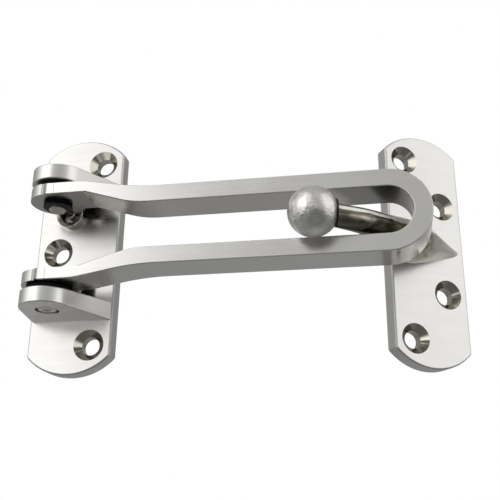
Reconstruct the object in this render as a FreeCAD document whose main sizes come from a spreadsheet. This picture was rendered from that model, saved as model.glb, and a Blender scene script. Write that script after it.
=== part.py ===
import FreeCAD, Part
import math, os
import Sketcher
from FreeCAD import Vector as V, Placement, Rotation

# Swing-bar door guard. Millimetres, +Z up, X along the bar, Y into the wall.
# Origin: centre of the hinge plate's back face. The room side is -Y.
os.makedirs("parts", exist_ok=True)
doc = FreeCAD.newDocument("guard")

sheet = doc.addObject("Spreadsheet::Sheet", "Dims")
DIMS = [
    # plates
    ("plate_width", 22.0), ("plate_height", 65.0), ("plate_thick", 4.0), ("end_drop", 4.8), ("rim_round", 0.5), ("corner_round", 1.2),
    ("screw_x", 5.25), ("screw_z", 25.0), ("side_screw_z", 12.5), ("screw_r", 2.3), ("sink_r", 3.95),
    # ears
    ("pin_x", -2.3), ("pin_y", -13.2), ("ear_r", 6.9), ("ear_low", 14.05), ("ear_high", 18.75), ("ear_out", 18.35),
    # pins
    ("pin_r", 2.15), ("pin_hole_r", 2.18), ("head_r", 2.45), ("head_pocket_r", 2.9), ("head_len", 1.4), ("head_proud", -0.1), ("pin_end", 7.8),
    ("clip_r", 3.6), ("clip_low", 8.7), ("clip_thick", 0.75), ("groove_r", 1.6),
    ("washer_r", 5.6), ("washer_thick", 1.1),
    # bar
    ("knuckle_r", 6.8), ("knuckle_low", 9.75), ("knuckle_high", 12.65), ("bar_bore_r", 2.22), ("bar_depth", 10.4), ("bar_front", 7.0),
    ("slot_half", 5.75), ("bar_half", 10.0), ("bend_centre", 82.8),
    # friction plungers
    ("plunger_x", -2.3), ("plunger_z", 10.25), ("sleeve_r", 3.7), ("sleeve_bore_r", 2.4), ("sleeve_front", -5.9), ("sleeve_seat", -0.9),
    ("plunger_r", 1.3), ("plunger_tip", -5.85), ("plunger_tail", -3.4), ("flange_r", 2.2), ("flange_len", 0.6),
    ("spring_r", 1.75), ("spring_wire_r", 0.2),
    # black buffers beside the plungers
    ("buffer_x", 2.9), ("buffer_wide", 2.2), ("buffer_reach", 1.1), ("buffer_z", 9.6), ("buffer_tall", 3.0), ("buffer_front", -6.2), ("peg_r", 0.8), ("peg_depth", 2.0),
    # ball side
    ("strike_x", 88.4), ("strike_y", 17.3), ("strike_z", 2.6), ("door_angle", 30.0),
    ("ball_r", 5.8), ("ball_flat", 4.85), ("ball_x", -42.0), ("ball_y", -24.01), ("ball_z", -4.1), ("arm_angle", -15.0),
    ("collar_r", 3.3), ("collar_thick", 0.4), ("stud_r", 1.7), ("stud_hole_r", 1.75), ("spigot_r", 3.0), ("spigot_hole_r", 3.03),
    ("spigot_x", -4.0), ("spigot_z", -0.6),
]
for row, (name, value) in enumerate(DIMS, 1):
    sheet.set("A%d" % row, name)
    sheet.set("B%d" % row, repr(value))
    sheet.setAlias("B%d" % row, name)
doc.recompute()
D = dict(DIMS)


def plane(body, role):
    for f in body.Origin.OriginFeatures:
        if f.Role == role:
            return f
    raise RuntimeError(role)


def sketch(body, role, name, offset=0.0, bind=None):
    # offset runs along the plane's normal: +Z on XY, -Y on XZ, +X on YZ
    s = body.newObject("Sketcher::SketchObject", name)
    s.AttachmentSupport = [(plane(body, role), "")]
    s.MapMode = "FlatFace"
    s.AttachmentOffset = Placement(V(0, 0, offset), Rotation())
    if bind:
        s.setExpression(".AttachmentOffset.Base.z", bind)
    return s


def dim(s, kind, args, value, expr):
    i = s.addConstraint(Sketcher.Constraint(kind, *args, value))
    if expr:
        s.setExpression("Constraints[%d]" % i, expr)


def circle(s, x, y, r, ex=None, ey=None, er=None):
    g = s.addGeometry(Part.Circle(V(x, y, 0), V(0, 0, 1), r), False)
    dim(s, "DistanceX", (-1, 1, g, 3), x, ex) if abs(x) > 1e-6 else s.addConstraint(Sketcher.Constraint("PointOnObject", g, 3, -2))
    dim(s, "DistanceY", (-1, 1, g, 3), y, ey) if abs(y) > 1e-6 else s.addConstraint(Sketcher.Constraint("PointOnObject", g, 3, -1))
    dim(s, "Radius", (g,), r, er)
    return g


def chain(s, items):
    # items: ("l", p, q) a line, ("a", p, mid, q) an arc through three points
    ids = []
    for it in items:
        if it[0] == "l":
            g = Part.LineSegment(V(it[1][0], it[1][1], 0), V(it[2][0], it[2][1], 0))
        else:
            g = Part.Arc(V(it[1][0], it[1][1], 0), V(it[2][0], it[2][1], 0), V(it[3][0], it[3][1], 0))
        ids.append(s.addGeometry(g, False))
    return ids


def pad(body, s, length, name, expr=None, reverse=False):
    p = body.newObject("PartDesign::Pad", name)
    p.Profile = s
    p.Length = length
    p.Reversed = reverse
    if expr:
        p.setExpression("Length", expr)
    s.Visibility = False
    return p


def pocket(body, s, length, name, expr=None, reverse=False, through=False):
    p = body.newObject("PartDesign::Pocket", name)
    p.Profile = s
    if through:
        p.Type = 1
        p.Midplane = True
    else:
        p.Length = length
        p.Reversed = reverse
        if expr:
            p.setExpression("Length", expr)
    s.Visibility = False
    return p


def chamfer(body, base, edges, size, name, expr=None):
    c = body.newObject("PartDesign::Chamfer", name)
    c.Base = (base, edges)
    c.Size = size
    if expr:
        c.setExpression("Size", expr)
    return c


def fillet(body, base, edges, radius, name, expr=None):
    c = body.newObject("PartDesign::Fillet", name)
    c.Base = (base, edges)
    c.Radius = radius
    if expr:
        c.setExpression("Radius", expr)
    return c


def edges_where(shape, test):
    return ["Edge%d" % (i + 1) for i, e in enumerate(shape.Edges) if test(e)]


def new_body(label):
    b = doc.addObject("PartDesign::Body", label)
    b.Label = label
    return b


def on_y(e, y, tol=0.01):
    return abs(e.BoundBox.YMin - y) < tol and abs(e.BoundBox.YMax - y) < tol


# ---------------------------------------------------------------- plates
W, H, T = D["plate_width"], D["plate_height"], D["plate_thick"]
DROP = D["end_drop"]


def plate_outline(s):
    x, z, zt = W / 2, H / 2 - DROP, H / 2
    g = chain(s, [("l", (x, -z), (x, z)), ("a", (x, z), (0, zt), (-x, z)),
                  ("l", (-x, z), (-x, -z)), ("a", (-x, -z), (0, -zt), (x, -z))])
    C = Sketcher.Constraint
    s.addConstraint(C("Coincident", g[0], 2, g[1], 1 if s.Geometry[g[1]].StartPoint.x > 0 else 2))
    s.addConstraint(C("Coincident", g[1], 2 if s.Geometry[g[1]].StartPoint.x > 0 else 1, g[2], 1))
    s.addConstraint(C("Coincident", g[2], 2, g[3], 1 if s.Geometry[g[3]].StartPoint.x < 0 else 2))
    s.addConstraint(C("Coincident", g[3], 2 if s.Geometry[g[3]].StartPoint.x < 0 else 1, g[0], 1))
    dim(s, "DistanceX", (-1, 1, g[0], 1), x, "Dims.plate_width / 2")
    dim(s, "DistanceX", (-1, 1, g[0], 2), x, "Dims.plate_width / 2")
    dim(s, "DistanceX", (-1, 1, g[2], 1), -x, "-Dims.plate_width / 2")
    dim(s, "DistanceX", (-1, 1, g[2], 2), -x, "-Dims.plate_width / 2")
    dim(s, "DistanceY", (-1, 1, g[0], 2), z, "Dims.plate_height / 2 - Dims.end_drop")
    dim(s, "DistanceY", (-1, 1, g[0], 1), -z, "-Dims.plate_height / 2 + Dims.end_drop")
    dim(s, "DistanceY", (-1, 1, g[2], 1), z, "Dims.plate_height / 2 - Dims.end_drop")
    dim(s, "DistanceY", (-1, 1, g[2], 2), -z, "-Dims.plate_height / 2 + Dims.end_drop")


def screw_holes(body, centres):
    s = sketch(body, "XZ_Plane", body.Label + "_screw_sketch")
    for x, z, ex, ez in centres:
        circle(s, x, z, D["screw_r"], ex, ez, "Dims.screw_r")
    return pocket(body, s, 0, body.Label + "_screw_holes", through=True)


def sink(body, base):
    doc.recompute()
    e = edges_where(base.Shape, lambda e: on_y(e, -T) and hasattr(e.Curve, "Radius")
                    and abs(e.Curve.Radius - D["screw_r"]) < 0.01)
    return chamfer(body, base, e, D["sink_r"] - D["screw_r"], body.Label + "_countersinks", "Dims.sink_r - Dims.screw_r")


# hinge plate, cast with its two ears
hp = new_body("hinge_plate")
s = sketch(hp, "XZ_Plane", "hinge_outline")
plate_outline(s)
f = pad(hp, s, T, "hinge_slab", "Dims.plate_thick")
doc.recompute()


def corner_edge(e):
    b = e.BoundBox
    return b.YMax - b.YMin > T - 0.1 and b.XMax - b.XMin < 0.01 and b.ZMax - b.ZMin < 0.01


def soften(body, base):
    # rounded corners, then a rounded rim on the room side
    g = fillet(body, base, edges_where(base.Shape, corner_edge), D["corner_round"], body.Label + "_corners", "Dims.corner_round")
    doc.recompute()
    return fillet(body, g, edges_where(g.Shape, lambda e: on_y(e, -T)), D["rim_round"], body.Label + "_rim", "Dims.rim_round")


f = soften(hp, f)

px, py, er = D["pin_x"], D["pin_y"], D["ear_r"]


def tangent(P, side):
    # tangent point on the ear's nose circle of the line from P
    dx, dy = px - P[0], py - P[1]
    dist = math.hypot(dx, dy)
    a = math.atan2(dy, dx) + side * math.asin(er / dist)
    L = math.sqrt(dist ** 2 - er ** 2)
    return (P[0] + L * math.cos(a), P[1] + L * math.sin(a))


def ear_out(y):
    # height of an ear's outer face
    return D["ear_out"] + (D["ear_high"] - D["ear_out"]) * (y - py) / (-T - py)


right, left = (W / 2 - D["rim_round"] - 0.05, -T), (-W / 2 + D["rim_round"] + 0.05, -T)
tr, tl = tangent(right, 1), tangent(left, -1)
ears = []
for k, tag in ((1, "upper"), (-1, "lower")):
    s = sketch(hp, "XY_Plane", tag + "_ear_plan", k * D["ear_low"], "%sDims.ear_low" % ("" if k > 0 else "-"))
    base_y = -T + 1.5
    chain(s, [("l", (left[0], base_y), (right[0], base_y)), ("l", (right[0], base_y), right), ("l", right, tr),
              ("a", tr, (px, py - er), tl), ("l", tl, left), ("l", left, (left[0], base_y))])
    thick = D["ear_high"] - D["ear_low"]
    f = pad(hp, s, thick, tag + "_ear", "Dims.ear_high - Dims.ear_low", reverse=(k < 0))
    # the outer face leans in from the plate to the nose
    s = sketch(hp, "YZ_Plane", tag + "_ear_draft_sketch")
    y0, y1 = -T, -22.0
    chain(s, [("l", (y0, k * ear_out(y0)), (y1, k * ear_out(y1))), ("l", (y1, k * ear_out(y1)), (y1, k * 20.0)),
              ("l", (y1, k * 20.0), (y0, k * 20.0)), ("l", (y0, k * 20.0), (y0, k * ear_out(y0)))])
    f = pocket(hp, s, 0, tag + "_ear_draft", through=True)
    s = sketch(hp, "XY_Plane", tag + "_pin_hole_sketch", k * D["ear_low"], "%sDims.ear_low" % ("" if k > 0 else "-"))
    circle(s, px, py, D["pin_hole_r"], "Dims.pin_x", "Dims.pin_y", "Dims.pin_hole_r")
    f = pocket(hp, s, thick + 0.5, tag + "_pin_hole", "Dims.ear_high - Dims.ear_low + 0.5", reverse=(k > 0))
    s = sketch(hp, "XY_Plane", tag + "_head_sketch", k * D["ear_high"], "%sDims.ear_high" % ("" if k > 0 else "-"))
    circle(s, px, py, D["head_pocket_r"], "Dims.pin_x", "Dims.pin_y", "Dims.head_pocket_r")
    f = pocket(hp, s, D["head_len"] + D["ear_high"] - D["ear_out"], tag + "_head_pocket", "Dims.head_len + Dims.ear_high - Dims.ear_out", reverse=(k < 0))
# bores for the plunger sleeves
s = sketch(hp, "XZ_Plane", "sleeve_bore_sketch", T, "Dims.plate_thick")
for k in (1, -1):
    circle(s, D["plunger_x"], k * D["plunger_z"], D["sleeve_r"] + 0.02, "Dims.plunger_x", "%sDims.plunger_z" % ("" if k > 0 else "-"), "Dims.sleeve_r + 0.02")
f = pocket(hp, s, T + D["sleeve_seat"], "sleeve_bores", "Dims.plate_thick + Dims.sleeve_seat")
# blind holes for the buffers' pegs
s = sketch(hp, "XZ_Plane", "peg_hole_sketch", T, "Dims.plate_thick")
peg_x, peg_z = D["buffer_x"] + D["buffer_wide"] / 2, D["buffer_z"] + D["buffer_tall"] / 2
for k in (1, -1):
    circle(s, peg_x, k * peg_z, D["peg_r"] + 0.02, "Dims.buffer_x + Dims.buffer_wide / 2", "%s(Dims.buffer_z + Dims.buffer_tall / 2)" % ("" if k > 0 else "-"), "Dims.peg_r + 0.02")
f = pocket(hp, s, D["peg_depth"] + 0.1, "peg_holes", "Dims.peg_depth + 0.1")
xs, zs = D["screw_x"], D["screw_z"]
f = screw_holes(hp, [(xs, zs, "Dims.screw_x", "Dims.screw_z"), (xs, -zs, "Dims.screw_x", "-Dims.screw_z"), (-xs, 0, "-Dims.screw_x", None)])
f = sink(hp, f)
doc.recompute()


def ear_edge(e):
    b = e.BoundBox
    ends = [e.valueAt(e.FirstParameter + (e.LastParameter - e.FirstParameter) * q) for q in (0.0, 0.5, 1.0)]
    inner = all(abs(abs(p.z) - D["ear_low"]) < 0.01 for p in ends)
    outer = all(abs(abs(p.z) - ear_out(p.y)) < 0.01 for p in ends)
    if not inner and not outer:
        return False
    if b.YMin > -T - 0.01:
        return False
    size = getattr(e.Curve, "Radius", getattr(e.Curve, "MajorRadius", 99))
    return size > 4


ee = edges_where(f.Shape, ear_edge)
f = fillet(hp, f, ee, 0.35, "ear_round")
doc.recompute()
hp.Tip = f

# ball plate, on the door
bp = new_body("ball_plate")
s = sketch(bp, "XZ_Plane", "ball_plate_outline")
plate_outline(s)
f = pad(bp, s, T, "ball_slab", "Dims.plate_thick")
doc.recompute()
f = soften(bp, f)
f = screw_holes(bp, [(-xs, zs, "-Dims.screw_x", "Dims.screw_z"), (-xs, -zs, "-Dims.screw_x", "-Dims.screw_z"),
                     (xs, D["side_screw_z"], "Dims.screw_x", "Dims.side_screw_z"), (xs, -D["side_screw_z"], "Dims.screw_x", "-Dims.side_screw_z")])
f = sink(bp, f)
s = sketch(bp, "XZ_Plane", "spigot_hole_sketch")
circle(s, D["spigot_x"], D["spigot_z"], D["spigot_hole_r"], "Dims.spigot_x", "Dims.spigot_z", "Dims.spigot_hole_r")
f = pocket(bp, s, 0, "spigot_hole", through=True)
bp.Tip = f

# ---------------------------------------------------------------- swing bar, local origin on the pin axis
sb = new_body("swing_bar")
F, DEP = D["bar_front"], D["bar_depth"]
hi, lo, so, bh, bc = D["knuckle_high"], D["knuckle_low"], D["slot_half"], D["bar_half"], D["bend_centre"]


def ease(x0, z0, x1, z1, slope, r0):
    # from level (x0, z0) down to level at height z1: an arc r0, a straight of the slope, then an arc ending at x1
    a = math.atan(slope)
    out = []
    xa, za = x0, z0
    if r0:
        xb, zb = xa + r0 * math.sin(a), za - r0 * (1 - math.cos(a))
        xm, zm = xa + r0 * math.sin(a / 2), za - r0 * (1 - math.cos(a / 2))
        out.append(("a", (xa, za), (xm, zm), (xb, zb)))
        xa, za = xb, zb
    # arc of radius r1 tangent to the slope and to z1 at x1
    # xa + L cos + r1 sin = x1 ; za - L sin - r1 (1 - cos) = z1
    c_, s_ = math.cos(a), math.sin(a)
    # solve the two equations for L and r1
    det = c_ * (1 - c_) - s_ * s_
    dx, dz = x1 - xa, za - z1
    L = (dx * (1 - c_) - dz * s_) / det
    r1 = (c_ * dz - s_ * dx) / det
    xb, zb = xa + L * c_, za - L * s_
    out.append(("l", (xa, za), (xb, zb)))
    xm, zm = x1 - r1 * math.sin(a / 2), z1 + r1 * (1 - math.cos(a / 2))
    out.append(("a", (xb, zb), (xm, zm), (x1, z1)))
    return out


def flip(items):
    # mirror in z and run backwards
    out = []
    for it in reversed(items):
        pts = [(p[0], -p[1]) for p in reversed(it[1:])]
        out.append(tuple([it[0]] + pts))
    return out


x0 = -0.9
outer = [("l", (x0, hi), (6.6, hi))] + ease(6.6, hi, 29.2, bh, 0.18, 25.0)
outer.append(("l", (29.2, bh), (bc, bh)))
inner = [("l", (x0, lo), (9.2, lo))] + ease(9.2, lo, 26.0, so, 0.30, 0)
inner.append(("l", (26.0, so), (bc, so)))
items = outer + [("a", (bc, bh), (bc + bh, 0), (bc, -bh))] + flip(outer)
items += [("l", (x0, -hi), (x0, -lo))]
items += [(it[0],) + tuple((p[0], -p[1]) for p in it[1:]) for it in inner]
items += [("a", (bc, -so), (bc + so, 0), (bc, so))]
items += [tuple([it[0]] + list(reversed(it[1:]))) for it in reversed(inner)]
items += [("l", (x0, lo), (x0, hi))]
s = sketch(sb, "XZ_Plane", "bar_outline", -(DEP - F), "Dims.bar_front - Dims.bar_depth")
chain(s, items)
f = pad(sb, s, DEP, "bar_strip", "Dims.bar_depth")
for k, tag in ((1, "upper"), (-1, "lower")):
    s = sketch(sb, "XY_Plane", tag + "_knuckle_plan", k * lo, "%sDims.knuckle_low" % ("" if k > 0 else "-"))
    circle(s, 0, 0, D["knuckle_r"], None, None, "Dims.knuckle_r")
    f = pad(sb, s, hi - lo, tag + "_knuckle", "Dims.knuckle_high - Dims.knuckle_low", reverse=(k < 0))
s = sketch(sb, "XY_Plane", "knuckle_bore_sketch")
circle(s, 0, 0, D["bar_bore_r"], None, None, "Dims.bar_bore_r")
f = pocket(sb, s, 0, "knuckle_bores", through=True)
s = sketch(sb, "XY_Plane", "knuckle_groove_sketch")
circle(s, -1.46, -math.sqrt(D["knuckle_r"] ** 2 - 1.46 ** 2) - 0.2, 0.45)
f = pocket(sb, s, 0, "knuckle_grooves", through=True)
doc.recompute()
back = DEP - F


def long_edge(e):
    b = e.BoundBox
    return (abs(b.YMin - b.YMax) < 0.01 and (abs(b.YMin + F) < 0.01 or abs(b.YMin - back) < 0.01) and b.XMin > 26.5)


f0 = f
ed = edges_where(f.Shape, lambda e: on_y(e, -F) and e.BoundBox.XMin > 5.9 or on_y(e, back) and e.BoundBox.XMin > 9.1)
f = fillet(sb, f, ed, 0.3, "bar_round")
sb.Tip = f

# ---------------------------------------------------------------- pins, clips, washers (local origin on the pin axis, at the plate's mid height)
def turned(label, pts):
    # solid of revolution about Z from a half profile (r, z)
    b = new_body(label)
    s = sketch(b, "XZ_Plane", label + "_profile")
    n = len(pts)
    chain(s, [("l", pts[i], pts[(i + 1) % n]) for i in range(n)])
    r = b.newObject("PartDesign::Revolution", label + "_turned")
    r.Profile = s
    r.ReferenceAxis = (s, ["V_Axis"])
    r.Angle = 360
    s.Visibility = False
    b.Tip = r
    return b


zo = D["ear_out"]
pins = {}
for tag in ("upper", "lower"):
    top = zo + D["head_proud"]
    g0, g1 = D["clip_low"] - 0.03, D["clip_low"] + D["clip_thick"] + 0.03
    pr, hr, gr, e0 = D["pin_r"], D["head_r"], D["groove_r"], D["pin_end"]
    b = turned(tag + "_hinge_pin", [(0, e0), (pr - 0.35, e0), (pr, e0 + 0.35), (pr, g0), (gr, g0), (gr, g1), (pr, g1),
                                    (pr, zo - D["head_len"]), (hr, zo - D["head_len"]), (hr, top - 0.3), (hr - 0.35, top),
                                    (1.35, top), (0.95, top - 0.4), (0, top - 0.4)])
    pins[tag] = b

for tag in ("upper", "lower"):
    b = new_body(tag + "_retaining_clip")
    s = sketch(b, "XY_Plane", tag + "_clip_plan", D["clip_low"], "Dims.clip_low")
    R, r = D["clip_r"], D["groove_r"] + 0.02
    a, c = math.radians(38), math.radians(52)
    # open ring, mouth toward the plate (the lower one is laid over by its half turn)
    m = -1 if tag == "upper" else 1
    chain(s, [("a", (R * math.sin(a), -m * R * math.cos(a)), (0, m * R), (-R * math.sin(a), -m * R * math.cos(a))),
              ("l", (-R * math.sin(a), -m * R * math.cos(a)), (-r * math.sin(c), -m * r * math.cos(c))),
              ("a", (-r * math.sin(c), -m * r * math.cos(c)), (0, m * r), (r * math.sin(c), -m * r * math.cos(c))),
              ("l", (r * math.sin(c), -m * r * math.cos(c)), (R * math.sin(a), -m * R * math.cos(a)))])
    b.Tip = pad(b, s, D["clip_thick"], tag + "_clip", "Dims.clip_thick")

for tag in ("upper", "lower"):
    b = new_body(tag + "_washer")
    z0 = D["ear_low"] - D["washer_thick"]
    s = sketch(b, "XY_Plane", tag + "_washer_plan", z0, "Dims.ear_low - Dims.washer_thick")
    circle(s, 0, 0, D["washer_r"], None, None, "Dims.washer_r")
    circle(s, 0, 0, D["pin_r"] + 0.1, None, None, "Dims.pin_r + 0.1")
    b.Tip = pad(b, s, D["washer_thick"], tag + "_washer_disc", "Dims.washer_thick")

# ---------------------------------------------------------------- friction plungers (local origin on their axis, Z of the body runs toward the wall)
def plunger_set(tag):
    fr, seat = D["sleeve_front"], D["sleeve_seat"]
    R, r = D["sleeve_r"], D["sleeve_bore_r"]
    # bodies are turned about Z and then laid along Y by their placement
    a = turned(tag + "_plunger_sleeve", [(r, fr + 0.55), (r + 0.2, fr + 0.35), (r + 0.35, fr + 0.35), (r + 0.35, fr), (R - 0.25, fr), (R, fr + 0.25), (R, seat), (0, seat), (0, seat - 0.4), (r, seat - 0.4)])
    tip, tail, q, fl = D["plunger_tip"], D["plunger_tail"], D["plunger_r"], D["flange_r"]
    b = turned(tag + "_plunger", [(0, tip), (q - 0.35, tip), (q, tip + 0.35), (q, tail - D["flange_len"]), (fl, tail - D["flange_len"]), (fl, tail), (0, tail)])
    return a, b


sets = {tag: plunger_set(tag) for tag in ("upper", "lower")}

for tag, k in (("upper", 1), ("lower", -1)):
    # small black block that fills the gap behind the bar, held by a peg in the plate; the upper one reaches further
    # toward the sleeve
    name = tag + "_buffer"
    reach, more = (D["buffer_reach"], " + Dims.buffer_reach") if k > 0 else (0.0, "")
    blk = doc.addObject("Part::Box", name + "_block")
    blk.setExpression("Length", "Dims.buffer_wide" + more)
    blk.setExpression("Width", "-Dims.buffer_front - Dims.plate_thick")
    blk.setExpression("Height", "Dims.buffer_tall")
    blk.Placement = Placement(V(D["buffer_x"] - reach, D["buffer_front"], D["buffer_z"] if k > 0 else -D["buffer_z"] - D["buffer_tall"]), Rotation())
    blk.setExpression(".Placement.Base.x", "Dims.buffer_x" + more.replace("+", "-"))
    blk.setExpression(".Placement.Base.y", "Dims.buffer_front")
    peg = doc.addObject("Part::Cylinder", name + "_peg")
    peg.setExpression("Radius", "Dims.peg_r")
    peg.setExpression("Height", "Dims.peg_depth + 0.5")
    peg.Placement = Placement(V(peg_x, -T - 0.5, k * peg_z), Rotation(V(1, 0, 0), -90))
    doc.recompute()
    soft = doc.addObject("Part::Chamfer", name + "_soft")
    soft.Base = blk
    soft.Edges = [(i + 1, 0.3, 0.3) for i, e in enumerate(blk.Shape.Edges) if on_y(e, D["buffer_front"])]
    both = doc.addObject("Part::MultiFuse", name)
    both.Label = name
    both.Shapes = [soft, peg]
    both.Refine = True
doc.recompute()


def skinned(net):
    # closed solid whose skin is steered by rings of control points, with a flat cap at each end
    n, m = len(net), len(net[0])
    skin = Part.BSplineSurface()
    skin.buildFromPolesMultsKnots(net, [4] + [1] * (n - 4) + [4], [1] * (m + 1), [float(i) for i in range(n - 2)],
                                  [float(i) for i in range(m + 1)], False, True, 3, 3)
    side = skin.toShape()
    rims = [e for e in side.Edges if e.isClosed()]
    caps = [Part.Face(Part.Wire([e])).copy() for e in rims]
    solid = Part.Solid(Part.Shell([side] + caps))
    if solid.Volume < 0:
        solid.reverse()
    return solid


z0, z1 = D["plunger_tail"] + D["spring_wire_r"] + 0.02, D["sleeve_seat"] - 0.4 - D["spring_wire_r"] - 0.02
TURNS, PER = 2.5, 16
coil = []
for i in range(int(TURNS * PER) + 1):
    t = 2 * math.pi * i / PER
    z = z0 + (z1 - z0) * i / (TURNS * PER)
    c, s_ = math.cos(t), math.sin(t)
    coil.append([V((D["spring_r"] + w * math.cos(q)) * c, (D["spring_r"] + w * math.cos(q)) * s_, z + w * math.sin(q))
                 for w in [D["spring_wire_r"] * 1.1] for q in [2 * math.pi * j / 8 for j in range(8)]])
for tag in ("upper", "lower"):
    sp = doc.addObject("Part::Feature", tag + "_plunger_spring")
    sp.Label = tag + "_plunger_spring"
    sp.Shape = skinned(coil)

# ---------------------------------------------------------------- ball arm (in the ball plate's frame)
def ring(points):
    c = Part.BSplineCurve()
    c.interpolate(Points=[V(*p) for p in points], PeriodicFlag=True)
    return Part.Wire([c.toShape()])


RING = 20


def oval(cx, cy, cz, a, b, ang):
    h = math.radians(ang)
    nx, ny = -math.sin(h), math.cos(h)
    out = []
    for i in range(RING):
        t = 2 * math.pi * i / RING
        u, w = a * math.cos(t), b * math.sin(t)
        out.append((cx + nx * u, cy + ny * u, cz + w))
    return out


def root():
    # leaf on the plate's face: blunt at the door edge, narrow at the far side
    half = [(-10.5, 0.0), (-10.2, 2.2), (-9.2, 3.9), (-7.4, 4.75), (-5.0, 4.5), (-2.5, 4.0), (0.5, 3.35), (3.7, 2.4), (6.8, 1.5), (9.1, 0.85), (9.9, 0.0)]
    cum = [0.0]
    for p, q in zip(half, half[1:]):
        cum.append(cum[-1] + math.hypot(q[0] - p[0], q[1] - p[1]))
    out = []
    for i in range(RING):
        t = i / RING
        up = t <= 0.5
        d_ = (t if up else 1 - t) * 2 * cum[-1]
        k = max(j for j in range(len(cum) - 1) if cum[j] <= d_ + 1e-9)
        f_ = (d_ - cum[k]) / (cum[k + 1] - cum[k])
        x = half[k][0] + f_ * (half[k + 1][0] - half[k][0])
        w = half[k][1] + f_ * (half[k + 1][1] - half[k][1])
        out.append((x, -T, -0.55 + (w if up else -w)))
    return out


ca, sa = math.cos(math.radians(D["arm_angle"])), math.sin(math.radians(D["arm_angle"]))
neck = D["ball_flat"] + D["collar_thick"]
bx, by, bz = D["ball_x"], D["ball_y"], D["ball_z"]
stations = [
    (0.0, root()),
    (7.5, oval(-7.26, -9.11, -1.6, 6.3, 5.15, 50.6)),
    (16.1, oval(-13.49, -14.96, -2.85, 5.5, 4.3, 33.0)),
    (23.6, oval(-20.18, -18.95, -3.7, 4.6, 3.75, 28.0)),
    (29.8, oval(-25.76, -22.42, -4.3, 3.8, 3.05, 22.0)),
    (35.3, oval(-31.26, -25.14, -4.95, 3.1, 2.85, 8.0)),
    (40.4, oval(bx + neck * ca, by + neck * sa, bz - 0.7, 2.75, 2.7, D["arm_angle"])),
]


def between(u):
    # each ring point follows a smooth track through the stations
    k = max(j for j in range(len(stations) - 1) if stations[j][0] <= u + 1e-9)
    (u0, A), (u1, B) = stations[k], stations[k + 1]
    h = u1 - u0
    t = (u - u0) / h
    out = []
    for i in range(RING):
        p = []
        for c in range(3):
            d = (B[i][c] - A[i][c]) / h
            m0 = m1 = d
            if k > 0:
                m0 = (B[i][c] - stations[k - 1][1][i][c]) / (u1 - stations[k - 1][0])
            if k + 2 < len(stations):
                m1 = (stations[k + 2][1][i][c] - A[i][c]) / (stations[k + 2][0] - u0)
            p.append((2 * t ** 3 - 3 * t ** 2 + 1) * A[i][c] + (t ** 3 - 2 * t ** 2 + t) * h * m0
                     + (-2 * t ** 3 + 3 * t ** 2) * B[i][c] + (t ** 3 - t ** 2) * h * m1)
        out.append(tuple(p))
    return out


steps = [0.0, 1.0, 2.4, 4.0, 5.8, 7.5, 9.4, 11.6, 13.8, 16.1, 18.6, 21.1, 23.6, 26.0, 28.0, 29.8, 31.8, 33.6, 35.3, 37.2, 39.0, 40.4]
net = []
grow = 3.0 / (2.0 + math.cos(2 * math.pi / RING))  # a control ring stands slightly outside its surface
for u in steps:
    pts = between(u)
    mid = [sum(p[c] for p in pts) / RING for c in range(3)]
    net.append([V(*[mid[c] + (p[c] - mid[c]) * grow for c in range(3)]) for p in pts])
horn = skinned(net)
stud = Part.makeCylinder(D["stud_r"], neck - 1.2, V(bx + (neck + 0.3) * ca, by + (neck + 0.3) * sa, bz), V(-ca, -sa, 0))
spig = Part.makeCylinder(D["spigot_r"], T - 0.15 + 0.5, V(D["spigot_x"], -T - 0.5, D["spigot_z"]), V(0, 1, 0))
arm = doc.addObject("Part::Feature", "ball_arm")
arm.Label = "ball_arm"
arm.Shape = horn.fuse([stud, spig]).removeSplitter()

# ---------------------------------------------------------------- ball and its collar (local origin at the ball's centre, Z toward the arm)
ball = new_body("ball")
s = sketch(ball, "XZ_Plane", "ball_profile")
R, fl = D["ball_r"], D["ball_flat"]
rf = math.sqrt(R * R - fl * fl)
hr, hd = D["stud_hole_r"], 1.0
am = (math.atan2(fl, rf) - math.pi / 2) / 2
chain(s, [("a", (0, -R), (R * math.cos(am), R * math.sin(am)), (rf, fl)), ("l", (rf, fl), (hr, fl)), ("l", (hr, fl), (hr, hd)),
          ("l", (hr, hd), (0, hd)), ("l", (0, hd), (0, -R))])
r = ball.newObject("PartDesign::Revolution", "ball_turned")
r.Profile = s
r.ReferenceAxis = (s, ["V_Axis"])
r.Angle = 360
ball.Tip = r

collar = turned("ball_collar", [(D["stud_r"] + 0.04, fl), (D["collar_r"] - 0.1, fl), (D["collar_r"], fl + 0.1), (D["collar_r"], neck - 0.1),
                                (D["collar_r"] - 0.1, neck), (D["stud_r"] + 0.04, neck)])

# ---------------------------------------------------------------- placements
pin_at = Placement(V(px, py, 0), Rotation())
half_turn = Rotation(V(1, 0, 0), 180)
sb.Placement = pin_at
for tag, rot in (("upper", Rotation()), ("lower", half_turn)):
    at = Placement(V(px, py, 0), rot)
    for name in ("_hinge_pin", "_retaining_clip", "_washer"):
        doc.getObject(tag + name).Placement = at
lay = Rotation(V(1, 0, 0), -90)  # local +Z to +Y
for tag, k in (("upper", 1), ("lower", -1)):
    at = Placement(V(D["plunger_x"], 0, k * D["plunger_z"]), lay)
    for name in ("_plunger_sleeve", "_plunger", "_plunger_spring"):
        doc.getObject(tag + name).Placement = at
door = Placement(V(D["strike_x"], D["strike_y"], D["strike_z"]), Rotation(V(0, 0, 1), D["door_angle"]))
bp.Placement = door
arm.Placement = door
on_arm = Placement(V(bx, by, bz), Rotation(V(0, 0, 1), V(ca, sa, 0)))
ball.Placement = door.multiply(on_arm)
collar.Placement = door.multiply(on_arm)
doc.recompute()

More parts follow.
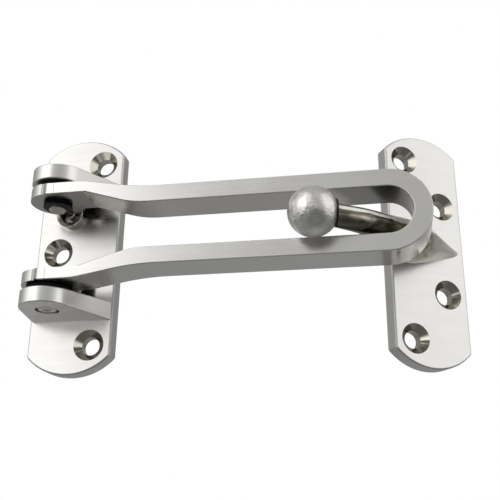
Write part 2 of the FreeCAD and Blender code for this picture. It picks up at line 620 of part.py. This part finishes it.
# ---------------------------------------------------------------- write the solids
NODES = ["hinge_plate", "upper_hinge_pin", "lower_hinge_pin", "upper_retaining_clip", "lower_retaining_clip", "upper_washer", "lower_washer",
         "upper_plunger_sleeve", "lower_plunger_sleeve", "upper_plunger", "lower_plunger", "upper_plunger_spring", "lower_plunger_spring",
         "upper_buffer", "lower_buffer",
         "swing_bar", "ball_plate", "ball_arm", "ball_collar", "ball"]
for o in doc.Objects:
    bad = [x for x in o.State if x in ("Invalid", "Error")]
    if bad:
        raise RuntimeError("%s is %s" % (o.Name, bad))
for name in NODES:
    o = doc.getObject(name)
    sh = o.Shape
    if sh.isNull() or not sh.isValid():
        raise RuntimeError(name + " has no valid shape")
    if len(sh.Solids) != 1:
        raise RuntimeError("%s has %d solids" % (name, len(sh.Solids)))
    b = sh.BoundBox
    print("%-22s vol %8.1f  x %.2f..%.2f y %.2f..%.2f z %.2f..%.2f" % (name, sh.Volume, b.XMin, b.XMax, b.YMin, b.YMax, b.ZMin, b.ZMax))
    sh.exportStep("parts/%s.step" % name)
print("written", len(NODES))
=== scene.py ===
import bpy
import math
from mathutils import Matrix, Vector

# Swing-bar door guard: two satin plates, a looped bar and a ball on a polished arm.
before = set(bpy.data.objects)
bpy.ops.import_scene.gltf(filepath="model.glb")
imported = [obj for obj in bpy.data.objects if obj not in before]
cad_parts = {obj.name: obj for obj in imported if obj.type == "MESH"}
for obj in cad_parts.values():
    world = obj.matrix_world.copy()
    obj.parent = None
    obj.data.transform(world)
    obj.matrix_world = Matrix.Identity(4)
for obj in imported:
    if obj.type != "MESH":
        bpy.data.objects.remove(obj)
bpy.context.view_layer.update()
sc = bpy.context.scene
sc.view_settings.view_transform = "Standard"
sc.view_settings.look = "None"


# ------------------------------------------------------------ node helpers
class Tree:
    def __init__(self, nt):
        self.nt = nt

    def add(self, kind, **values):
        n = self.nt.nodes.new(kind)
        for k, v in values.items():
            if k.startswith("in_"):
                key = k[3:]
                key = int(key) if key.isdigit() else key.replace("_", " ")
                sock = n.inputs[key]
                if hasattr(v, "is_linked") or isinstance(v, bpy.types.NodeSocket):
                    self.nt.links.new(v, sock)
                else:
                    sock.default_value = v
            else:
                setattr(n, k, v)
        return n

    def math(self, op, a, b=None, c=None, clamp=False):
        n = self.nt.nodes.new("ShaderNodeMath")
        n.operation = op
        n.use_clamp = clamp
        for i, v in enumerate((a, b, c)):
            if v is None:
                continue
            if isinstance(v, bpy.types.NodeSocket):
                self.nt.links.new(v, n.inputs[i])
            else:
                n.inputs[i].default_value = v
        return n.outputs[0]

    def ramp(self, fac, stops, mode="EASE"):
        n = self.nt.nodes.new("ShaderNodeValToRGB")
        n.color_ramp.interpolation = mode
        els = n.color_ramp.elements
        while len(els) < len(stops):
            els.new(0.5)
        for e, (p, c) in zip(els, stops):
            e.position = p
            e.color = (c, c, c, 1) if isinstance(c, (int, float)) else (*c, 1)
        self.nt.links.new(fac, n.inputs[0])
        return n.outputs[0]


def new_material(name):
    m = bpy.data.materials.new(name)
    m.use_nodes = True
    m.node_tree.nodes.clear()
    return m, Tree(m.node_tree)


def finish_metal(t, colour, rough, normal=None, metallic=1.0, **more):
    b = t.add("ShaderNodeBsdfPrincipled")
    for key, v in (("Metallic", metallic), ("Base Color", colour), ("Roughness", rough), ("Normal", normal)):
        if v is None:
            continue
        if isinstance(v, bpy.types.NodeSocket):
            t.nt.links.new(v, b.inputs[key])
        else:
            b.inputs[key].default_value = v
    for k, v in more.items():
        b.inputs[k.replace("_", " ")].default_value = v
    o = t.add("ShaderNodeOutputMaterial")
    t.nt.links.new(b.outputs[0], o.inputs[0])
    return b


def satin(name, stretch, base, rough, lines=0.25, mottled=0.04, turn=0.0, slot_polish_and_shade=None, dents=0.0, shade_bands=(), below=None):
    """Brushed plating: fine lines along the axis left unstretched, a soft mottle and small casting dimples.
    stretch gives how tightly the lines are packed along X, Y and Z, in lines per metre."""
    m, t = new_material(name)
    co = t.add("ShaderNodeTexCoord").outputs["Object"]
    mp = t.add("ShaderNodeMapping", in_Vector=co)
    mp.inputs["Scale"].default_value = stretch
    mp.inputs["Rotation"].default_value = (0, 0, turn)
    fine = t.add("ShaderNodeTexNoise", in_Vector=mp.outputs[0], in_Scale=1.0, in_Detail=4.0, in_Roughness=0.65)
    mp2 = t.add("ShaderNodeMapping", in_Vector=co)
    mp2.inputs["Scale"].default_value = tuple(0.22 * v for v in stretch)
    mp2.inputs["Rotation"].default_value = (0, 0, turn)
    broad = t.add("ShaderNodeTexNoise", in_Vector=mp2.outputs[0], in_Scale=1.0, in_Detail=2.0, in_Roughness=0.5)
    cloud = t.add("ShaderNodeTexNoise", in_Vector=co, in_Scale=160.0, in_Detail=3.0, in_Roughness=0.55)
    grain = t.add("ShaderNodeTexNoise", in_Vector=co, in_Scale=2600.0, in_Detail=2.0, in_Roughness=0.6)
    # roughness: lines and clouds around the stated value
    a = t.math("MULTIPLY", t.math("SUBTRACT", fine.outputs[0], 0.5), 0.16)
    b = t.math("MULTIPLY", t.math("SUBTRACT", cloud.outputs[0], 0.5), 0.10)
    r = t.math("ADD", t.math("ADD", a, b), rough, clamp=True)
    if slot_polish_and_shade:
        # painted shade: smoother and a little darker between two distances along X, given as (x0, x1, roughness drop,
        # shade darkening, end shade darkening, slope shade darkening)
        xx = t.add("ShaderNodeSeparateXYZ", in_0=co).outputs[0]
        deep = t.add("ShaderNodeMapRange", in_0=xx, in_1=slot_polish_and_shade[0], in_2=slot_polish_and_shade[1], in_3=0.0, in_4=1.0)
        deep.interpolation_type = "SMOOTHSTEP"
        deep = deep.outputs[0]
        r = t.math("SUBTRACT", r, t.math("MULTIPLY", deep, slot_polish_and_shade[2]), clamp=True)
    # colour: faint change along the lines and in patches
    v = t.math("ADD", t.math("MULTIPLY", t.math("SUBTRACT", broad.outputs[0], 0.5), mottled * 2),
               t.math("MULTIPLY", t.math("SUBTRACT", cloud.outputs[0], 0.5), mottled))
    v = t.math("ADD", v, t.math("MULTIPLY", t.math("SUBTRACT", fine.outputs[0], 0.5), mottled * 1.6))
    v = t.math("ADD", v, 1.0)
    if slot_polish_and_shade:
        v = t.math("MULTIPLY", v, t.math("SUBTRACT", 1.0, t.math("MULTIPLY", deep, slot_polish_and_shade[3])))
        # painted shade, deeper still on the upper wall near the loop's end, further forward at the front edge
        sp = t.add("ShaderNodeSeparateXYZ", in_0=co)
        lean = t.math("ADD", sp.outputs[0], t.math("MULTIPLY", t.math("ADD", sp.outputs[1], 0.0202), -0.45))
        lean = t.math("ADD", lean, t.math("MULTIPLY", t.math("SUBTRACT", cloud.outputs[0], 0.5), 0.004))
        end = t.add("ShaderNodeMapRange", in_0=lean, in_1=0.0660, in_2=0.0700, in_3=0.0, in_4=1.0)
        end.interpolation_type = "SMOOTHSTEP"
        high = t.add("ShaderNodeMapRange", in_0=sp.outputs[2], in_1=0.0, in_2=0.004, in_3=0.08, in_4=1.0)
        v = t.math("MULTIPLY", v, t.math("SUBTRACT", 1.0, t.math("MULTIPLY", t.math("MULTIPLY", end.outputs[0], high.outputs[0]), slot_polish_and_shade[4])))
        # and painted shade on the slope beside the upper knuckle
        slope = t.add("ShaderNodeMapRange", in_0=xx, in_1=0.028, in_2=0.018, in_3=0.0, in_4=slot_polish_and_shade[5])
        slope.interpolation_type = "SMOOTHSTEP"
        v = t.math("MULTIPLY", v, t.math("SUBTRACT", 1.0, t.math("MULTIPLY", slope.outputs[0], high.outputs[0])))
    for x_mid, half, soft, shade_depth in shade_bands:
        # painted shade: a darker upright band at one distance along X
        gap = t.math("ABSOLUTE", t.math("SUBTRACT", t.add("ShaderNodeSeparateXYZ", in_0=co).outputs[0], x_mid))
        band = t.add("ShaderNodeMapRange", in_0=gap, in_1=half + soft, in_2=half, in_3=0.0, in_4=shade_depth)
        band.interpolation_type = "SMOOTHSTEP"
        v = t.math("MULTIPLY", v, t.math("SUBTRACT", 1.0, band.outputs[0]))
    if below:
        # painted light: faces that look down are painted lighter and smoother past one distance along X, after a
        # narrow band of painted shade
        x_mid, half, shade_depth, painted_light_gain, drop = below
        nz = t.add("ShaderNodeSeparateXYZ", in_0=t.add("ShaderNodeNewGeometry").outputs["Normal"]).outputs[2]
        down = t.add("ShaderNodeMapRange", in_0=nz, in_1=-0.35, in_2=-0.75, in_3=0.0, in_4=1.0).outputs[0]
        xd = t.add("ShaderNodeSeparateXYZ", in_0=co).outputs[0]
        gap = t.math("ABSOLUTE", t.math("SUBTRACT", xd, x_mid))
        shade = t.add("ShaderNodeMapRange", in_0=gap, in_1=half + 0.0004, in_2=half, in_3=0.0, in_4=1.0).outputs[0]
        past = t.add("ShaderNodeMapRange", in_0=xd, in_1=x_mid + half, in_2=x_mid + half + 0.0006, in_3=0.0, in_4=1.0).outputs[0]
        part = t.math("SUBTRACT", t.math("MULTIPLY", past, painted_light_gain), t.math("MULTIPLY", shade, shade_depth))
        v = t.math("MULTIPLY", v, t.math("ADD", 1.0, t.math("MULTIPLY", down, part)))
        r = t.math("SUBTRACT", r, t.math("MULTIPLY", t.math("MULTIPLY", down, past), drop), clamp=True)
    tint = t.add("ShaderNodeVectorMath", operation="SCALE")
    tint.inputs[0].default_value = base
    t.nt.links.new(v, tint.inputs["Scale"])
    hgt = t.math("ADD", t.math("MULTIPLY", fine.outputs[0], 0.8), t.math("MULTIPLY", grain.outputs[0], 0.35))
    hgt = t.math("ADD", hgt, t.math("MULTIPLY", broad.outputs[0], 0.5))
    if dents:
        pits = t.add("ShaderNodeTexNoise", in_Vector=co, in_Scale=420.0, in_Detail=2.5, in_Roughness=0.5)
        hgt = t.math("ADD", hgt, t.math("MULTIPLY", pits.outputs[0], dents))
    bump = t.add("ShaderNodeBump", in_Strength=lines, in_Distance=0.00002, in_Height=hgt)
    finish_metal(t, tint.outputs[0], r, bump.outputs[0])
    return m


def polished(name, base, rough, wobble=0.08):
    m, t = new_material(name)
    co = t.add("ShaderNodeTexCoord").outputs["Object"]
    soft = t.add("ShaderNodeTexNoise", in_Vector=co, in_Scale=220.0, in_Detail=2.0, in_Roughness=0.5)
    fine = t.add("ShaderNodeTexNoise", in_Vector=co, in_Scale=1800.0, in_Detail=3.0, in_Roughness=0.6)
    r = t.math("ADD", t.math("MULTIPLY", t.math("SUBTRACT", fine.outputs[0], 0.5), 0.06), rough, clamp=True)
    v = t.math("ADD", t.math("MULTIPLY", t.math("SUBTRACT", soft.outputs[0], 0.5), 0.10), 1.0)
    tint = t.add("ShaderNodeVectorMath", operation="SCALE")
    tint.inputs[0].default_value = base
    t.nt.links.new(v, tint.inputs["Scale"])
    bump = t.add("ShaderNodeBump", in_Strength=wobble, in_Distance=0.0002, in_Height=soft.outputs[0])
    finish_metal(t, tint.outputs[0], r, bump.outputs[0])
    return m


def horn(name, base):
    """Polished metal that turns satin toward the plate it grows from, with painted light and shade: a painted
    highlight along the upper flank, painted shade in patches on the faces beneath it."""
    m, t = new_material(name)
    co = t.add("ShaderNodeTexCoord").outputs["Object"]
    xyz = t.add("ShaderNodeSeparateXYZ", in_0=co)
    # distance in front of the ball plate's back face, in metres
    off = t.math("SUBTRACT", t.math("MULTIPLY", t.math("SUBTRACT", xyz.outputs[0], 0.0884), 0.5),
                 t.math("MULTIPLY", t.math("SUBTRACT", xyz.outputs[1], 0.0173), 0.866))

    def step(value, lo, hi):
        n = t.add("ShaderNodeMapRange", in_0=value, in_1=lo, in_2=hi, in_3=0.0, in_4=1.0)
        n.interpolation_type = "SMOOTHSTEP"
        return n.outputs[0]

    near = step(off, 0.017, 0.008)
    away = t.math("SUBTRACT", 1.0, near)
    # patches drawn out along the arm, for the bump and the painted patchy shade
    mp = t.add("ShaderNodeMapping", in_Vector=co)
    mp.inputs["Rotation"].default_value = (0, 0, math.radians(25))
    mp.inputs["Scale"].default_value = (90, 240, 330)
    patch = t.add("ShaderNodeTexNoise", in_Vector=mp.outputs[0], in_Scale=1.0, in_Detail=2.5, in_Roughness=0.5)
    fine = t.add("ShaderNodeTexNoise", in_Vector=co, in_Scale=2200.0, in_Detail=3.0, in_Roughness=0.6)
    wave = t.math("MULTIPLY", t.math("SUBTRACT", patch.outputs[0], 0.5), 0.35)
    nz = t.add("ShaderNodeSeparateXYZ", in_0=t.add("ShaderNodeNewGeometry").outputs["Normal"]).outputs[2]
    nw = t.math("ADD", nz, wave)
    # distance along the arm from the ball plate, in metres
    along = t.math("ADD", t.math("MULTIPLY", t.math("SUBTRACT", xyz.outputs[0], 0.0884), -0.866),
                   t.math("MULTIPLY", t.math("SUBTRACT", xyz.outputs[1], 0.0173), -0.5))
    outer = step(along, 0.0245, 0.0300)
    tip = step(along, 0.0115, 0.0190)
    # painted highlight: a light band on the upper flank, absent near the plate
    painted_highlight = t.math("MULTIPLY", t.math("MULTIPLY", step(nw, 0.20, 0.29), step(nw, 0.64, 0.54)), tip)
    # painted shade: the topmost faces away from the plate form a dark outline
    rim = t.math("MULTIPLY", step(nz, 0.54, 0.64), away)
    body_shade = t.math("MULTIPLY", step(nw, 0.31, 0.16), away)
    r = t.math("ADD", t.math("MULTIPLY", near, 0.26), 0.12)
    r = t.math("ADD", r, t.math("MULTIPLY", painted_highlight, 0.16))
    r = t.math("ADD", r, t.math("MULTIPLY", body_shade, 0.12))
    r = t.math("ADD", t.math("MULTIPLY", t.math("SUBTRACT", fine.outputs[0], 0.5), 0.06), r, clamp=True)
    # painted light and shade: patches deepen the painted shade on the faces below the highlight, the painted highlight
    # stays light
    inside = t.ramp(patch.outputs[0], [(0.38, 0.48), (0.54, 1.10), (0.70, 0.70)])
    neck = t.ramp(patch.outputs[0], [(0.36, 0.19), (0.50, 0.62), (0.66, 0.28)])
    dark = t.math("ADD", inside, t.math("MULTIPLY", t.math("SUBTRACT", neck, inside), outer))
    v = t.math("ADD", 1.0, t.math("MULTIPLY", t.math("SUBTRACT", dark, 1.0), body_shade))
    v = t.math("ADD", v, t.math("MULTIPLY", painted_highlight, 0.50))
    # a painted dark line of shade under the painted highlight
    line = t.math("MULTIPLY", t.math("MULTIPLY", step(nw, -0.18, -0.02), step(nw, 0.26, 0.19)), outer)
    v = t.math("MULTIPLY", v, t.math("SUBTRACT", 1.0, t.math("MULTIPLY", line, 0.66)))
    # painted shade: the downward faces far from the plate are darker
    belly_shade = t.math("MULTIPLY", step(nw, -0.40, -0.62), outer)
    v = t.math("MULTIPLY", v, t.math("SUBTRACT", 1.0, t.math("MULTIPLY", belly_shade, 0.55)))
    # painted light: lighter near the plate
    v = t.math("MULTIPLY", v, t.math("ADD", 1.0, t.math("MULTIPLY", near, 0.28)))
    # the painted dark top outline
    v = t.math("MULTIPLY", v, t.math("SUBTRACT", 1.0, t.math("MULTIPLY", rim, 0.88)))
    # the painted shade on the lower faces takes an olive tint, as a painted reflection
    warm = t.add("ShaderNodeMix", data_type="RGBA")
    t.nt.links.new(body_shade, warm.inputs[0])
    warm.inputs[6].default_value = (*base, 1)
    warm.inputs[7].default_value = (0.70, 0.65, 0.53, 1)
    tint = t.add("ShaderNodeVectorMath", operation="SCALE")
    t.nt.links.new(warm.outputs[2], tint.inputs[0])
    t.nt.links.new(v, tint.inputs["Scale"])
    h = t.math("ADD", patch.outputs[0], t.math("MULTIPLY", t.math("MULTIPLY", fine.outputs[0], near), 0.1))
    bump = t.add("ShaderNodeBump", in_Strength=0.10, in_Distance=0.0002, in_Height=h)
    # the painted highlight is mostly non-metal, so it stays light
    metal = t.math("SUBTRACT", 1.0, t.math("MULTIPLY", painted_highlight, 0.92))
    metal = t.math("MULTIPLY", metal, t.math("SUBTRACT", 1.0, rim))
    finish_metal(t, tint.outputs[0], r, bump.outputs[0], metallic=metal, Specular_IOR_Level=0.2)
    return m


def black(name, base, rough):
    m, t = new_material(name)
    co = t.add("ShaderNodeTexCoord").outputs["Object"]
    n = t.add("ShaderNodeTexNoise", in_Vector=co, in_Scale=1500.0, in_Detail=3.0)
    r = t.math("ADD", t.math("MULTIPLY", t.math("SUBTRACT", n.outputs[0], 0.5), 0.2), rough, clamp=True)
    v = t.math("ADD", t.math("MULTIPLY", t.math("SUBTRACT", n.outputs[0], 0.5), 0.5), 1.0)
    tint = t.add("ShaderNodeVectorMath", operation="SCALE")
    tint.inputs[0].default_value = base
    t.nt.links.new(v, tint.inputs["Scale"])
    bump = t.add("ShaderNodeBump", in_Strength=0.15, in_Distance=0.00003, in_Height=n.outputs[0])
    finish_metal(t, tint.outputs[0], r, bump.outputs[0], metallic=0.0, Specular_IOR_Level=0.10)
    return m


NICKEL = (0.735, 0.725, 0.70)
MATS = {
    "hinge": satin("hinge_satin", (60, 400, 5200), NICKEL, 0.30),
    # the bar has two painted shade bands at two distances along X near the hinge
    "bar": satin("bar_satin", (90, 1500, 4200), NICKEL, 0.26, shade_bands=((-0.0031, 0.0003, 0.0006, 0.74), (-0.00062, 0.00006, 0.00007, 0.42)),
                 # painted light on the downward faces near the loop's end, after a band of painted shade
                 below=(0.0797, 0.0008, 0.26, 0.34, 0.11)),
    "plate": satin("ball_plate_satin", (70, 400, 5200), NICKEL, 0.34, turn=-math.radians(30)),
    "ball": satin("ball_satin", (900, 900, 2400), NICKEL, 0.36, lines=0.3, mottled=0.34, dents=60.0),
    "arm": horn("arm_polish", (0.66, 0.65, 0.60)),
    # polished, with a darker base colour that is painted shade in the screw holes
    "sink": polished("countersink_polish", (0.52, 0.50, 0.44), 0.12, 0.14),
    "rim": satin("rim_satin", (60, 400, 5200), NICKEL, 0.60),
    "pin": satin("pin_satin", (2600, 2600, 2600), (0.74, 0.73, 0.70), 0.24),
    "sleeve": polished("sleeve_polish", (0.60, 0.58, 0.53), 0.20),
    # plunger and spring: darker steel, darkened further as painted shade inside the sleeve
    "steel": satin("plunger_satin", (2600, 2600, 2600), (0.42, 0.41, 0.38), 0.22),
    "spring": satin("spring_satin", (2600, 2600, 2600), (0.45, 0.45, 0.44), 0.35),
    "clip": black("clip_black", (0.004, 0.004, 0.004), 0.24),
    "clip_face": black("clip_face_black", (0.022, 0.022, 0.021), 0.35),
    # painted shade: a darker copy of the bar satin for the upper knuckle's underside
    "knuckle": satin("knuckle_underside", (90, 1500, 4200), (0.53, 0.52, 0.49), 0.24),
    # painted light: a lighter copy of the plate satin for the lower ear's underside
    "under": satin("ear_underside", (60, 400, 5200), (0.98, 0.97, 0.94), 0.30, mottled=0.08),
    "washer": black("washer_black", (0.006, 0.006, 0.0055), 0.6),
    "buffer": black("buffer_black", (0.004, 0.004, 0.0035), 0.5),
    # painted shade: the collar is nearly black, standing for the shaded join between ball and arm
    "collar": polished("collar_dark", (0.05, 0.048, 0.043), 0.25),
    # painted shade inside the slot: darker toward the loop's end, on its upper wall and beside the upper knuckle
    "slot": satin("slot_wall", (90, 1500, 4200), (0.735, 0.715, 0.675), 0.26, slot_polish_and_shade=(0.022, 0.040, 0.06, 0.10, 0.44, 0.34)),
}
NODE_MATS = {
    "hinge_plate": "hinge", "swing_bar": "bar", "ball_plate": "plate", "ball": "ball", "ball_arm": "arm", "ball_collar": "collar",
    "upper_hinge_pin": "pin", "lower_hinge_pin": "pin", "upper_retaining_clip": "clip", "lower_retaining_clip": "clip",
    "upper_washer": "washer", "lower_washer": "washer", "upper_plunger_sleeve": "sleeve", "lower_plunger_sleeve": "sleeve",
    "upper_plunger": "steel", "lower_plunger": "steel", "upper_plunger_spring": "spring", "lower_plunger_spring": "spring",
    "upper_buffer": "buffer", "lower_buffer": "buffer",
}
for name, key in NODE_MATS.items():
    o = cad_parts[name]
    o.data.materials.clear()
    o.data.materials.append(MATS[key])
    o.data.shade_smooth()
    o.data.set_sharp_from_angle(angle=math.radians(32))

# polished countersinks, darkened with painted shade: the cone and wall faces of the screw holes
DOOR = Matrix.Translation((0.0884, 0.0173, 0.0026)) @ Matrix.Rotation(math.radians(30), 4, "Z")
HOLES = {
    "hinge_plate": (Matrix.Identity(4), [(5.25, 25), (5.25, -25), (-5.25, 0)]),
    "ball_plate": (DOOR, [(-5.25, 25), (-5.25, -25), (5.25, 12.5), (5.25, -12.5)]),
}
for name, (at, holes) in HOLES.items():
    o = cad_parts[name]
    o.data.materials.append(MATS["sink"])
    back = at.inverted()
    for p in o.data.polygons:
        c = back @ p.center
        n = back.to_3x3() @ p.normal
        for hx, hz in holes:
            if math.hypot(c.x * 1000 - hx, c.z * 1000 - hz) < 4.0 and abs(n.y) < 0.95:
                p.material_index = 1

# the softened edge round each plate's face is a little duller than the face
for name, (at, half_wide) in {"hinge_plate": (Matrix.Identity(4), 10.45), "ball_plate": (DOOR, 10.45)}.items():
    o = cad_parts[name]
    o.data.materials.append(MATS["rim"])
    back = at.inverted()
    for p in o.data.polygons:
        c = back @ p.center
        n = back.to_3x3() @ p.normal
        if abs(c.x) * 1000 > half_wide and 0.12 < abs(n.y) < 0.985 and c.y < -0.0030 and c.y > -0.0045:
            p.material_index = 2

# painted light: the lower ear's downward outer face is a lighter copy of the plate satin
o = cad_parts["hinge_plate"]
o.data.materials.append(MATS["under"])
for p in o.data.polygons:
    if p.normal.z < -0.8 and p.center.y < -0.0045 and p.center.z < -0.0155:
        p.material_index = 3

# flat faces of the clips
for name in ("upper_retaining_clip", "lower_retaining_clip"):
    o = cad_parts[name]
    o.data.materials.append(MATS["clip_face"])
    for p in o.data.polygons:
        if abs(p.normal.z) > 0.8:
            p.material_index = 1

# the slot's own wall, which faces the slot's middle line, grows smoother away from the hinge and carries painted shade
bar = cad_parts["swing_bar"]
bar.data.materials.append(MATS["slot"])
bar.data.materials.append(MATS["rim"])
bar.data.materials.append(MATS["knuckle"])
BEND = 0.0828
for p in bar.data.polygons:
    c, n = p.center, p.normal
    if 0.12 < abs(n.y) < 0.985 and c.x > 0.030:
        p.material_index = 2
        continue
    # painted shade: the upper knuckle's underside takes the darker copy
    if n.z < -0.99 and c.x < 0.0085 and abs(c.z - 0.00975) < 0.0002:
        p.material_index = 3
        continue
    if abs(n.y) < 0.5 and c.x > 0.0095 and n.z * c.z + n.x * max(c.x - BEND, 0.0) < 0:
        p.material_index = 1

# ------------------------------------------------------------ camera
P, Y, R = math.radians(20.341), math.radians(-10.565), math.radians(0.579)
F = Vector((math.sin(Y) * math.cos(P), math.cos(Y) * math.cos(P), math.sin(P)))
right = F.cross(Vector((0, 0, 1))).normalized()
up = right.cross(F)
r2 = right * math.cos(R) + up * math.sin(R)
u2 = up * math.cos(R) - right * math.sin(R)
cam_data = bpy.data.cameras.new("photo_camera")
cam_data.sensor_width = 36.0
cam_data.lens = 55.16
cam_data.clip_start = 0.005
cam = bpy.data.objects.new("photo_camera", cam_data)
sc.collection.objects.link(cam)
m3 = Matrix((r2, u2, -F)).transposed()
cam.matrix_world = Matrix.Translation((0.07909, -0.181166, -0.068863)) @ m3.to_4x4()
sc.camera = cam

# ------------------------------------------------------------ floor and light
floor_mat, t = new_material("floor_pale")
fn = t.add("ShaderNodeTexNoise", in_Scale=3.0, in_Detail=2.0)
fv = t.math("ADD", t.math("MULTIPLY", fn.outputs[0], 0.02), 0.74)
fb = t.add("ShaderNodeCombineColor", in_0=fv, in_1=fv, in_2=fv)
finish_metal(t, fb.outputs[0], 0.8, metallic=0.0)
me = bpy.data.meshes.new("floor")
s = 6.0
me.from_pydata([(-s, -s, -0.32), (s, -s, -0.32), (s, s, -0.32), (-s, s, -0.32)], [], [(0, 1, 2, 3)])
me.materials.append(floor_mat)
floor = bpy.data.objects.new("floor", me)
sc.collection.objects.link(floor)
floor.visible_glossy = False

world = bpy.data.worlds.new("studio")
sc.world = world
world.use_nodes = True
world.node_tree.nodes.clear()
w = Tree(world.node_tree)
gen = w.add("ShaderNodeTexCoord").outputs["Generated"]
sep = w.add("ShaderNodeSeparateXYZ", in_0=gen)
X, YY, Z = sep.outputs
# bearing round the object: 0 toward the room, + toward +X, in turns from 0 to 1 with the room at 0.5
az = w.math("ARCTAN2", X, w.math("MULTIPLY", YY, -1.0))
az = w.math("ADD", w.math("MULTIPLY", az, 0.5 / math.pi), 0.5)
el = w.math("ADD", w.math("MULTIPLY", w.math("ARCSINE", Z), 1 / math.pi), 0.5)


def deg(a):
    return a / 360.0 + 0.5


def elev(a):
    return a / 180.0 + 0.5


LEVEL = [(-180, 0.41), (-150, 0.31), (-120, 0.32), (-95, 0.45), (-74, 0.92), (-60, 1.50), (-24.5, 1.76), (-17, 0.62), (-8, 0.57), (2, 0.50),
         (25, 0.46), (45, 0.62), (63, 1.34), (80, 1.24), (98, 0.95), (122, 0.38), (150, 0.24), (180, 0.39)]
mid = w.ramp(az, [(deg(a), v) for a, v in LEVEL], "EASE")
LOW = [(-180, 0.31), (-120, 0.25), (-60, 0.20), (0, 0.16), (60, 0.16), (120, 0.24), (180, 0.31)]
low = w.ramp(az, [(deg(a), v) for a, v in LOW], "EASE")
up_mix = w.ramp(el, [(0.0, 0.0), (elev(-22), 0.0), (elev(4), 1.0), (1.0, 1.0)], "EASE")
top_mix = w.ramp(el, [(0.0, 0.0), (elev(48), 0.0), (elev(75), 1.0), (1.0, 1.0)], "EASE")
mix1 = w.add("ShaderNodeMix", data_type="RGBA")
w.nt.links.new(up_mix, mix1.inputs[0])
w.nt.links.new(low, mix1.inputs[6])
w.nt.links.new(mid, mix1.inputs[7])
mix2 = w.add("ShaderNodeMix", data_type="RGBA")
w.nt.links.new(top_mix, mix2.inputs[0])
w.nt.links.new(mix1.outputs[2], mix2.inputs[6])
mix2.inputs[7].default_value = (0.5, 0.5, 0.5, 1)
lit = w.add("ShaderNodeBackground", in_Strength=1.0)
w.nt.links.new(mix2.outputs[2], lit.inputs[0])
seen = w.add("ShaderNodeBackground", in_Strength=1.0)
seen.inputs[0].default_value = (1, 1, 1, 1)
path = w.add("ShaderNodeLightPath")
pick = w.add("ShaderNodeMixShader")
w.nt.links.new(path.outputs["Is Camera Ray"], pick.inputs[0])
w.nt.links.new(lit.outputs[0], pick.inputs[1])
w.nt.links.new(seen.outputs[0], pick.inputs[2])
wo = w.add("ShaderNodeOutputWorld")
w.nt.links.new(pick.outputs[0], wo.inputs[0])
world.cycles.sampling_method = "MANUAL"
world.cycles.sample_map_resolution = 1024
